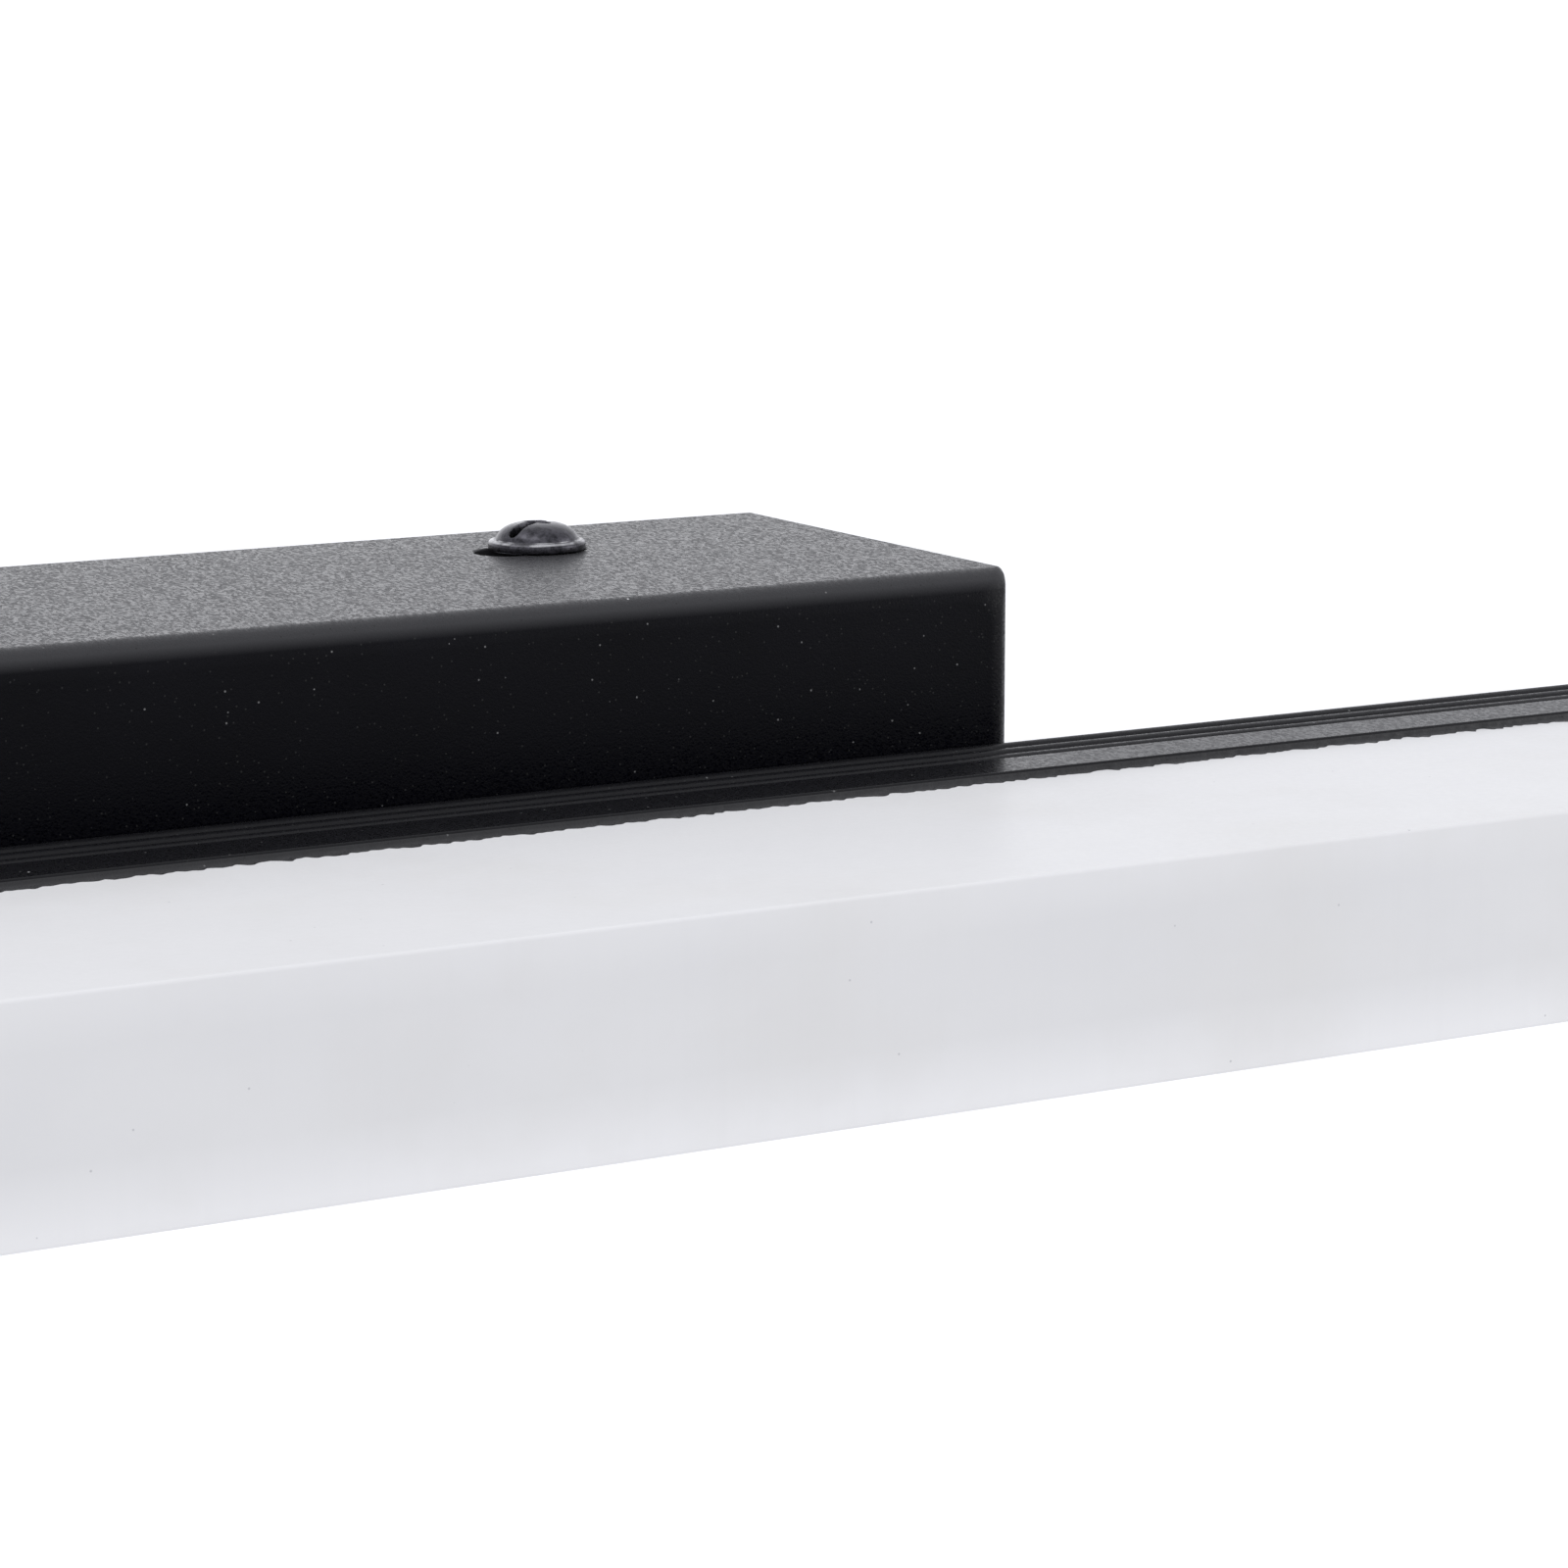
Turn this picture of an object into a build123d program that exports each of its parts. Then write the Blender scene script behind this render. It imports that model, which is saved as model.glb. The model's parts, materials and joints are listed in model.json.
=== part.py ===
from build123d import *
from math import radians, tan
import os

# A wall-hung vanity light bar, in millimetres.
# The origin is the centre of the wall-side face. The wall is the plane Y = 0, the light stands
# out from it towards -Y, +X runs along the bar and +Z is up. Depths are counted from the wall.

# Canopy: the folded steel box over the bracket, the driver and the wiring
CANOPY_WIDTH = 300.0
CANOPY_HEIGHT = 49.0
CANOPY_DEPTH = 47.5
CANOPY_SHEET = 1.2
CANOPY_BEND = 2.75
CANOPY_CORNER = 0.5
INNER_DEPTH = CANOPY_DEPTH - CANOPY_SHEET

# Side screws that hold the canopy to the bracket, and the slots that they sit in
SCREW_X = 119.0
SCREW_DEPTH = 14.0
SCREW_SHANK = 2.0
SCREW_LENGTH = 10.0
SCREW_TIP = 1.3
FLANGE_RADIUS = 4.5
FLANGE_RIM = 1.0
FLANGE_EDGE = 0.35
DOME_RADIUS = 3.8
DOME_HEIGHT = 1.6
DRIVE_WIDTH = 1.1
DRIVE_SLOT = 6.0
DRIVE_CROSS = 2.8
DRIVE_DEPTH = 1.4
SLOT_X = 118.35
SLOT_LENGTH = 10.9
SLOT_WIDTH = 6.2

# Wall bracket: a steel plate with a flange along its top and its bottom
BRACKET_LENGTH = 280.0
BRACKET_HEIGHT = 46.2
BRACKET_FLANGE = 22.0
BRACKET_SHEET = 1.5
BRACKET_BEND = 2.0
THREAD_RADIUS = 2.05
COLLAR_RADIUS = 3.3
COLLAR_HEIGHT = 1.5
CABLE_HOLE = 15.0
WALL_SLOT_SPACING = 200.0
WALL_SLOT_LENGTH = 12.0
WALL_SLOT_WIDTH = 5.0
BOX_SLOT_SPACING = 82.5
BOX_SLOT_LENGTH = 17.5
BOX_SLOT_WIDTH = 4.6
EARTH_PAD = (70.0, -13.0)
EARTH_PAD_RADIUS = 7.0
EARTH_PAD_RISE = 2.5
EARTH_PAD_TAPER = 15

# Light bar: an extruded channel with the diffuser in its mouth. Its middle lies below the canopy's.
BAR_CENTRE = -0.85
BAR_LENGTH = 610.0
BAR_HEIGHT = 19.75
BAR_DEPTH = 48.7
CHANNEL_DEPTH = 13.0
CAP_THICKNESS = 2.5
CHANNEL_LENGTH = BAR_LENGTH - 2 * CAP_THICKNESS
BACK_WALL = 3.0
SIDE_WALL = 1.6
LIP = 0.7
LIP_START = 7.6
RIB_DEPTHS = (0.85, 3.3, 5.75)
RIB_RADIUS = 0.85
RIB_BED = (7.4, 0.6)
LIP_ROUND = 0.2
PORT_DEPTH = 5.4
PORT_HEIGHT = 6.9
PORT_RADIUS = 1.22
PORT_BLOCK = 5.0
BEAD_DEPTH = 10.4
BEAD_WIDTH = 0.8
BEAD_RISE = 0.3

# Diffuser: a U of frosted acrylic, open towards the wall, closed by glued end plates
DIFFUSER_HEIGHT = 18.25
DIFFUSER_WALL = 2.0
DIFFUSER_START = 8.4
DIFFUSER_EDGE = 0.3
SNAP_GROOVE_WIDTH = 1.2
SNAP_GROOVE_DEPTH = 0.4

# LED boards on the channel's back wall
TAPE_THICKNESS = 0.2
BOARD_THICKNESS = 1.6
BOARD_WIDTH = 9.8
BOARD_START = 5.0
BOARD_END = 299.0
CHIP_SIZE = (2.8, 3.5)
CHIP_THICKNESS = 0.7
CHIP_PITCH = 12.0
CHIP_FIRST = 9.0
CHIP_COUNT = 25
BOARD_SCREW_X = (27.0, 279.0)
BOARD_TAP_RADIUS = 1.3
BOARD_TAP_DEPTH = 2.2
BOARD_HOLE = 1.5
TAPE_HOLE = 1.6
TAPE_INSET = 0.3
LINK_OVERLAP = 2.0
LINK_HEIGHT = 4.3
LINK_RADIUS = 0.5
BOARD_FRONT = CANOPY_DEPTH + BACK_WALL + TAPE_THICKNESS + BOARD_THICKNESS

# Screws from the canopy into the channel's back wall
BAR_SCREW_PLACES = [(x, z) for x in (-138.0, 138.0) for z in (-4.5, 4.5)]
BAR_SCREW_CLEARANCE = 2.25
WIRE_HOLE = 4.5
CHANNEL_WIRE_HOLE = 6.0

# Driver, stuck out from the canopy's front wall on two weld studs
DRIVER_X = -54.0
DRIVER_SIZE = (76.0, 34.0)
DRIVER_DEPTH = 22.0
DRIVER_BASE_DEPTH = 16.0
DRIVER_WALL = 1.6
DRIVER_CORNER = 2.0
DRIVER_EDGE = 1.0
EAR_LENGTH = 8.0
EAR_WIDTH = 12.0
EAR_CORNER = 3.0
EAR_THICKNESS = 2.0
STUD_RADIUS = 1.5
DRIVER_STUDS = [(DRIVER_X - 42.0, 0.0), (DRIVER_X + 42.0, 0.0)]
DRIVER_STUD_LENGTH = 7.0
LEAD_DEPTH = 36.0
LEAD_RADIUS = 0.8
LEAD_TAIL = 3.0
LED_LEAD_HEIGHT = 1.1
LED_PAD = (10.0, 3.4)
SUPPLY_LEAD_HEIGHT = 4.0

# What stands on the driver's circuit board. Places are counted from the driver's middle.
BOARD_FEET = 2.0
BOARD_FOOT_RADIUS = 1.5
BOARD_FOOT_INSET = 8.0
BOARD_MARGIN = 1.0
TRANSFORMER_PLACE = (DRIVER_X + 4.0, 1.0)
TRANSFORMER_LAYERS = ((17.0, 19.0, 2.5), (13.0, 16.0, 8.0), (17.0, 19.0, 2.0))
CAPACITORS = ((-22.0, 6.5, 5.0, 13.0), (22.0, 7.5, 4.0, 11.0))
CAPACITOR_EDGE = 0.6
CHOKE_PLACE = (DRIVER_X - 22.0, -7.5)
CHOKE_RADIUS = 5.5
CHOKE_BORE = 2.2
CHOKE_HEIGHT = 5.5
SWITCH_PLACE = (DRIVER_X + 23.0, -7.0)
SWITCH_SIZE = (10.0, 4.5)
SWITCH_HEIGHT = 11.0

# Terminal block and the canopy's earth stud
BLOCK_X = -118.0
BLOCK_SIZE = (18.0, 26.0)
BLOCK_DEPTH = 15.0
BLOCK_WAYS = (8.0, 0.0, -8.0)
BLOCK_ENTRY_DEPTH = 38.0
BLOCK_ENTRY_RADIUS = 1.5
BLOCK_CORNER = 1.0
BLOCK_SCREW_X = 5.0
BLOCK_SCREW_SINK = 4.0
BLOCK_WELL_RADIUS = 2.1
LEAD_REACH = 5.5
SUPPLY_RUN_ENDS = (13.0, 5.0)
BLOCK_STUD = (BLOCK_X, 4.0)
BLOCK_STUD_LENGTH = 18.0
EARTH_STUD = (-103.0, -17.5)
EARTH_STUD_RADIUS = 2.0
EARTH_STUD_LENGTH = 9.0
LUG_THICKNESS = 0.8
LUG_RADIUS = 3.9
LUG_TAIL = (3.0, 7.0)
LUG_BARREL = 1.4
LUG_BARREL_START = 4.6
LUG_BARREL_LENGTH = 4.0

# Pan-head screws: shank radius, length, head radius, head height and drive slot width
EARTH_SCREW = (SCREW_SHANK, 3.8, 3.9, 2.6, 1.0)
BAR_SCREW = (SCREW_SHANK, 4.9, 3.6, 2.6, 1.0)
BOARD_SCREW = (1.25, 3.9, 2.2, 1.5, 0.6)

# The terminal screws: as above without a length, because they reach down to the leads
TERMINAL_SCREW = (1.2, 1.9, 1.6, 0.6)

# The shape that all pan heads share, as shares of the head's and the shank's sizes
PAN_RIM = 0.35
PAN_SLOT_LENGTH = 1.3
PAN_SLOT_DEPTH = 0.55
PAN_TIP = 0.7
PAN_TAPER = 0.6

# Countersunk screws of the end caps, and the caps' own holes and edges
CAP_SCREW_CONE = 1.4
CAP_SCREW_HEAD = 2.6
CAP_SCREW_SHANK = 1.2
CAP_SCREW_LENGTH = 11.0
CAP_SCREW_TIP = 0.5
CAP_SCREW_TAPER = 1.5
CAP_SCREW_SLOT = (2.9, 0.6)
CAP_SCREW_SLOT_DEPTH = 1.0
CAP_EDGE = 0.4
CAP_HOLE_SHANK = 1.3
CAP_HOLE_HEAD = 2.65

# Washers, the wire grommet and the clearances round screws, studs and leads
WASHER_RADIUS = 4.3
WASHER_THICKNESS = 1.0
GROMMET_FLANGE = 5.8
GROMMET_NECK = WIRE_HOLE - 0.05
GROMMET_BORE = 2.7
GROMMET_OUTSIDE = 1.2
GROMMET_INSIDE = 1.5
GROMMET_TAPER = 12
HOLE_CLEARANCE = 0.15
LEAD_CLEARANCE = 0.1
NUT_CLEARANCE = 0.05
STUD_NUT = (5.5, 2.4)
EARTH_NUT = (7.0, 3.2)

# A lead's arc is this share of its shorter straight run, divided by the tangent of half the turn
ARC_SHARE = 0.45

# A plane across the bar: local x is the depth in front of the canopy, local y is up
BAR_SECTION = Plane(origin=(0, -CANOPY_DEPTH, BAR_CENTRE), x_dir=(0, -1, 0), z_dir=(-1, 0, 0))

# The front wall's outer and inner faces, centred on the bar, and its inner face, centred on the canopy
BAR_BACK = Plane(origin=(0, -CANOPY_DEPTH, BAR_CENTRE), x_dir=(1, 0, 0), z_dir=(0, -1, 0))
BAR_FIXING = BAR_BACK.offset(-CANOPY_SHEET)
CANOPY_INSIDE = Plane.XZ.offset(INNER_DEPTH)


def keep(piece, name):
    """Label a finished piece and write it as its own STEP file."""
    piece.part.label = name
    export_step(piece.part, f"parts/{name}.step")


def lathe_plane(origin, direction):
    """A sketch plane whose local y axis runs along a turned piece's axis."""
    along = Vector(*direction)
    across = Vector(0, 0, 1) if abs(along.Z) < 0.5 else Vector(1, 0, 0)
    return Plane(origin=origin, x_dir=across, z_dir=across.cross(along))


def pan_screws(name, places, direction, shank, length, head, height, slot):
    """A node of equal pan-head screws. Each place is under the head, and direction is its way out."""
    rim = PAN_RIM * height
    tip = PAN_TIP * shank
    taper = PAN_TAPER * shank
    with BuildPart() as screws:
        for place in places:
            with BuildSketch(lathe_plane(place, direction)):
                with BuildLine():
                    Polyline((0, height), (0, -length), (tip, -length), (shank, taper - length))
                    Polyline((shank, taper - length), (shank, 0), (head, 0), (head, rim))
                    TangentArc((0, height), (head, rim), tangent=(1, 0))
                make_face()
            revolve(axis=Axis(place, direction))
            top = Vector(*place) + Vector(*direction) * height
            with BuildSketch(Plane(origin=top, z_dir=Vector(*direction))):
                Rectangle(PAN_SLOT_LENGTH * head, slot)
                Rectangle(slot, PAN_SLOT_LENGTH * head)
            extrude(amount=-PAN_SLOT_DEPTH * height, mode=Mode.SUBTRACT)
    keep(screws, name)


def hex_nuts(name, places, bore, across, thickness):
    """A node of equal hexagon nuts. Each place is (x, z, depth of the face that it clamps)."""
    with BuildPart() as nuts:
        for x, z, depth in places:
            with BuildSketch(Plane.XZ.offset(depth)):
                with Locations((x, z)):
                    RegularPolygon(across / 2, 6, major_radius=False)
                    Circle(bore, mode=Mode.SUBTRACT)
            extrude(amount=-thickness)
    keep(nuts, name)


def lead(name, points, radius):
    """A round insulated lead: straight runs joined by arcs as large as the runs allow."""
    route = [Vector(*point) for point in points]
    bends = []
    for before, corner, after in zip(route, route[1:], route[2:]):
        turn = (corner - before).get_angle(after - corner)
        run = min((corner - before).length, (after - corner).length)
        bends.append(ARC_SHARE * run / tan(radians(turn / 2)))
    with BuildPart() as piece:
        with BuildLine():
            FilletPolyline(*points, radius=bends)
        with BuildSketch(Plane(origin=points[0], z_dir=route[1] - route[0])):
            Circle(radius)
        sweep()
    keep(piece, name)
    print(name, "tightest bend in diameters", round(min(bends) / radius / 2, 1))


def make_canopy():
    with BuildPart() as canopy:
        with BuildSketch(Plane.XZ):
            RectangleRounded(CANOPY_WIDTH, CANOPY_HEIGHT, CANOPY_CORNER)
        extrude(amount=CANOPY_DEPTH)
        fillet(canopy.faces().sort_by(Axis.Y)[0].edges(), CANOPY_BEND)
        with BuildSketch(Plane.XZ):
            Rectangle(CANOPY_WIDTH - 2 * CANOPY_SHEET, CANOPY_HEIGHT - 2 * CANOPY_SHEET)
        extrude(amount=INNER_DEPTH, mode=Mode.SUBTRACT)
        fillet(canopy.faces().filter_by(Axis.Y).sort_by(Axis.Y)[1].edges(), CANOPY_BEND - CANOPY_SHEET)
        with BuildSketch(Plane.XY.offset(CANOPY_HEIGHT / 2)):
            with Locations((-SLOT_X, -SCREW_DEPTH), (SLOT_X, -SCREW_DEPTH)):
                SlotOverall(SLOT_LENGTH, SLOT_WIDTH)
        extrude(amount=-CANOPY_HEIGHT, mode=Mode.SUBTRACT)
        with BuildSketch(BAR_FIXING):
            Circle(WIRE_HOLE)
            with Locations(*BAR_SCREW_PLACES):
                Circle(BAR_SCREW_CLEARANCE)
        extrude(amount=CANOPY_SHEET, mode=Mode.SUBTRACT)
        with BuildSketch(CANOPY_INSIDE):
            with Locations(*DRIVER_STUDS):
                Circle(STUD_RADIUS)
        extrude(amount=-DRIVER_STUD_LENGTH)
        with BuildSketch(CANOPY_INSIDE):
            with Locations(BLOCK_STUD):
                Circle(STUD_RADIUS)
        extrude(amount=-BLOCK_STUD_LENGTH)
        with BuildSketch(CANOPY_INSIDE):
            with Locations(EARTH_STUD):
                Circle(EARTH_STUD_RADIUS)
        extrude(amount=-EARTH_STUD_LENGTH)
    keep(canopy, "canopy")


def make_wall_bracket():
    screw_places = [(-SCREW_X, -SCREW_DEPTH), (SCREW_X, -SCREW_DEPTH)]
    with BuildPart() as wall_bracket:
        with BuildSketch(Plane.YZ) as profile:
            Rectangle(BRACKET_FLANGE, BRACKET_HEIGHT, align=(Align.MAX, Align.CENTER))
            with Locations((-BRACKET_SHEET, 0)):
                Rectangle(
                    BRACKET_FLANGE,
                    BRACKET_HEIGHT - 2 * BRACKET_SHEET,
                    align=(Align.MAX, Align.CENTER),
                    mode=Mode.SUBTRACT,
                )
            fillet(profile.vertices().group_by(Axis.X)[-1], BRACKET_BEND)
        extrude(amount=BRACKET_LENGTH / 2, both=True)
        for side in (1, -1):
            with BuildSketch(Plane.XY.offset(side * (BRACKET_HEIGHT / 2 - BRACKET_SHEET))):
                with Locations(*screw_places):
                    Circle(COLLAR_RADIUS)
            extrude(amount=-side * COLLAR_HEIGHT)
        with BuildSketch(Plane.XY.offset(BRACKET_HEIGHT / 2)):
            with Locations(*screw_places):
                Circle(THREAD_RADIUS)
        extrude(amount=-BRACKET_HEIGHT, mode=Mode.SUBTRACT)
        with BuildSketch(Plane.XZ.offset(BRACKET_SHEET)):
            with Locations(EARTH_PAD):
                Circle(EARTH_PAD_RADIUS)
        extrude(amount=EARTH_PAD_RISE, taper=EARTH_PAD_TAPER)
        with BuildSketch(Plane.XZ):
            with Locations(EARTH_PAD):
                Circle(EARTH_PAD_RADIUS - BRACKET_SHEET)
        extrude(amount=EARTH_PAD_RISE, mode=Mode.SUBTRACT)
        with BuildSketch(Plane.XZ):
            Circle(CABLE_HOLE)
            with Locations((-WALL_SLOT_SPACING / 2, 0), (WALL_SLOT_SPACING / 2, 0)):
                SlotOverall(WALL_SLOT_LENGTH, WALL_SLOT_WIDTH)
            with Locations((-BOX_SLOT_SPACING / 2, 0), (BOX_SLOT_SPACING / 2, 0)):
                SlotOverall(BOX_SLOT_LENGTH, BOX_SLOT_WIDTH)
            with Locations(EARTH_PAD):
                Circle(THREAD_RADIUS)
        extrude(amount=BRACKET_SHEET + EARTH_PAD_RISE, mode=Mode.SUBTRACT)
    keep(wall_bracket, "wall_bracket")

    pad_x, pad_z = EARTH_PAD
    pad_depth = BRACKET_SHEET + EARTH_PAD_RISE
    pan_screws("earth_screw", [(pad_x, -pad_depth, pad_z)], (0, -1, 0), *EARTH_SCREW)


def make_canopy_screw(name, x, side, turn):
    """A washer-head screw through the canopy's top (side 1) or bottom (side -1) into the bracket."""
    seat = (x, -SCREW_DEPTH, side * CANOPY_HEIGHT / 2)
    out = (0, 0, side)
    head = FLANGE_RIM + DOME_HEIGHT
    with BuildPart() as screw:
        with BuildSketch(lathe_plane(seat, out)):
            with BuildLine():
                Polyline((0, head), (0, -SCREW_LENGTH), (SCREW_TIP, -SCREW_LENGTH))
                Polyline((SCREW_TIP, -SCREW_LENGTH), (SCREW_SHANK, 1.2 - SCREW_LENGTH), (SCREW_SHANK, 0))
                Polyline((SCREW_SHANK, 0), (FLANGE_RADIUS, 0), (FLANGE_RADIUS, FLANGE_RIM - FLANGE_EDGE))
                Polyline((FLANGE_RADIUS, FLANGE_RIM - FLANGE_EDGE), (FLANGE_RADIUS - FLANGE_EDGE, FLANGE_RIM))
                Line((FLANGE_RADIUS - FLANGE_EDGE, FLANGE_RIM), (DOME_RADIUS, FLANGE_RIM))
                TangentArc((0, head), (DOME_RADIUS, FLANGE_RIM), tangent=(1, 0))
            make_face()
        revolve(axis=Axis(seat, out))
        with BuildSketch(Plane(origin=(x, -SCREW_DEPTH, seat[2] + side * head), z_dir=out)):
            with Locations(Rotation(0, 0, turn)):
                Rectangle(DRIVE_SLOT, DRIVE_WIDTH)
                Rectangle(DRIVE_WIDTH, DRIVE_CROSS)
        extrude(amount=-DRIVE_DEPTH, mode=Mode.SUBTRACT)
    keep(screw, name)


def make_bar_channel():
    half = BAR_HEIGHT / 2
    pocket = BAR_HEIGHT - 2 * SIDE_WALL
    mouth = BAR_HEIGHT - 2 * LIP
    with BuildPart() as bar_channel:
        with BuildSketch(BAR_SECTION) as section:
            Rectangle(CHANNEL_DEPTH, BAR_HEIGHT, align=(Align.MIN, Align.CENTER))
            with Locations((BACK_WALL, 0)):
                Rectangle(CHANNEL_DEPTH, pocket, align=(Align.MIN, Align.CENTER), mode=Mode.SUBTRACT)
            with Locations((LIP_START, 0)):
                Rectangle(CHANNEL_DEPTH, mouth, align=(Align.MIN, Align.CENTER), mode=Mode.SUBTRACT)
            for side in (1, -1):
                block = (pocket / 2 - PORT_BLOCK, side * (pocket / 2 + PORT_BLOCK) / 2)
                with Locations(((BACK_WALL + LIP_START) / 2, block[1])):
                    Rectangle(LIP_START - BACK_WALL, block[0])
                with Locations((PORT_DEPTH, side * PORT_HEIGHT)):
                    Circle(PORT_RADIUS, mode=Mode.SUBTRACT)
                with Locations((BEAD_DEPTH, side * (mouth - BEAD_RISE) / 2)):
                    Rectangle(BEAD_WIDTH, BEAD_RISE)
                with Locations((RIB_BED[0] / 2, side * (half - RIB_BED[1] / 2))):
                    Rectangle(*RIB_BED, mode=Mode.SUBTRACT)
                with Locations(*[(depth, side * (half - RIB_RADIUS)) for depth in RIB_DEPTHS]):
                    Circle(RIB_RADIUS)
            lip_corners = [v for v in section.vertices().group_by(Axis.X)[-1] if abs(v.Y) > half - 0.01]
            fillet(lip_corners, LIP_ROUND)
        extrude(amount=CHANNEL_LENGTH / 2, both=True)
        with BuildSketch(BAR_BACK):
            Circle(CHANNEL_WIRE_HOLE)
            with Locations(*BAR_SCREW_PLACES):
                Circle(THREAD_RADIUS)
        extrude(amount=BACK_WALL, mode=Mode.SUBTRACT)
        with BuildSketch(BAR_BACK.offset(BACK_WALL)):
            with Locations(*[(side * x, 0) for side in (-1, 1) for x in BOARD_SCREW_X]):
                Circle(BOARD_TAP_RADIUS)
        extrude(amount=-BOARD_TAP_DEPTH, mode=Mode.SUBTRACT)
    keep(bar_channel, "bar_channel")


def make_end_caps():
    """A cap over each end of the channel, with its two countersunk screws."""
    port = -CANOPY_DEPTH - PORT_DEPTH
    length = CAP_SCREW_LENGTH
    for name, side in (("left", -1), ("right", 1)):
        outer = side * BAR_LENGTH / 2
        places = [(outer, port, BAR_CENTRE + z) for z in (-PORT_HEIGHT, PORT_HEIGHT)]
        with BuildPart() as cap:
            with BuildSketch(Plane.YZ.offset(outer)):
                with Locations((-CANOPY_DEPTH, BAR_CENTRE)):
                    Rectangle(CHANNEL_DEPTH, BAR_HEIGHT, align=(Align.MAX, Align.CENTER))
            extrude(amount=-side * CAP_THICKNESS)
            fillet(cap.faces().sort_by(Axis.X)[0 if side < 0 else -1].edges(), CAP_EDGE)
            for place in places:
                with Locations(Plane(origin=place, z_dir=(side, 0, 0))):
                    CounterSinkHole(CAP_HOLE_SHANK, CAP_HOLE_HEAD, counter_sink_angle=90)
        keep(cap, f"end_cap_{name}")

        with BuildPart() as screws:
            for place in places:
                with BuildSketch(lathe_plane(place, (side, 0, 0))):
                    with BuildLine():
                        Polyline(
                            (0, 0), (0, -length), (CAP_SCREW_TIP, -length),
                            (CAP_SCREW_SHANK, CAP_SCREW_TAPER - length),
                            (CAP_SCREW_SHANK, -CAP_SCREW_CONE), (CAP_SCREW_HEAD, 0), (0, 0),
                        )
                    make_face()
                revolve(axis=Axis(place, (side, 0, 0)))
                with BuildSketch(Plane(origin=place, z_dir=(side, 0, 0))):
                    Rectangle(*CAP_SCREW_SLOT)
                    Rectangle(*reversed(CAP_SCREW_SLOT))
                extrude(amount=-CAP_SCREW_SLOT_DEPTH, mode=Mode.SUBTRACT)
        keep(screws, f"end_cap_screws_{name}")


def make_diffuser():
    leg = BAR_DEPTH - DIFFUSER_START
    body_length = CHANNEL_LENGTH - 2 * DIFFUSER_WALL
    with BuildPart() as diffuser:
        with BuildSketch(BAR_SECTION) as section:
            with Locations((DIFFUSER_START, 0)):
                Rectangle(leg, DIFFUSER_HEIGHT, align=(Align.MIN, Align.CENTER))
                Rectangle(
                    leg - DIFFUSER_WALL,
                    DIFFUSER_HEIGHT - 2 * DIFFUSER_WALL,
                    align=(Align.MIN, Align.CENTER),
                    mode=Mode.SUBTRACT,
                )
            for side in (1, -1):
                with Locations((BEAD_DEPTH, side * (DIFFUSER_HEIGHT - SNAP_GROOVE_DEPTH) / 2)):
                    Rectangle(SNAP_GROOVE_WIDTH, SNAP_GROOVE_DEPTH, mode=Mode.SUBTRACT)
            fillet(section.vertices().group_by(Axis.X)[-1], DIFFUSER_EDGE)
        extrude(amount=body_length / 2, both=True)
    keep(diffuser, "diffuser")

    for name, side in (("left", -1), ("right", 1)):
        with BuildPart() as end:
            with BuildSketch(Plane.YZ.offset(side * body_length / 2)) as plate:
                with Locations((-CANOPY_DEPTH - DIFFUSER_START, BAR_CENTRE)):
                    Rectangle(leg, DIFFUSER_HEIGHT, align=(Align.MAX, Align.CENTER))
                for edge in (1, -1):
                    groove = BAR_CENTRE + edge * (DIFFUSER_HEIGHT - SNAP_GROOVE_DEPTH) / 2
                    with Locations((-CANOPY_DEPTH - BEAD_DEPTH, groove)):
                        Rectangle(SNAP_GROOVE_WIDTH, SNAP_GROOVE_DEPTH, mode=Mode.SUBTRACT)
                fillet(plate.vertices().group_by(Axis.X)[0], DIFFUSER_EDGE)
            extrude(amount=side * DIFFUSER_WALL)
        keep(end, f"diffuser_end_{name}")


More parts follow.
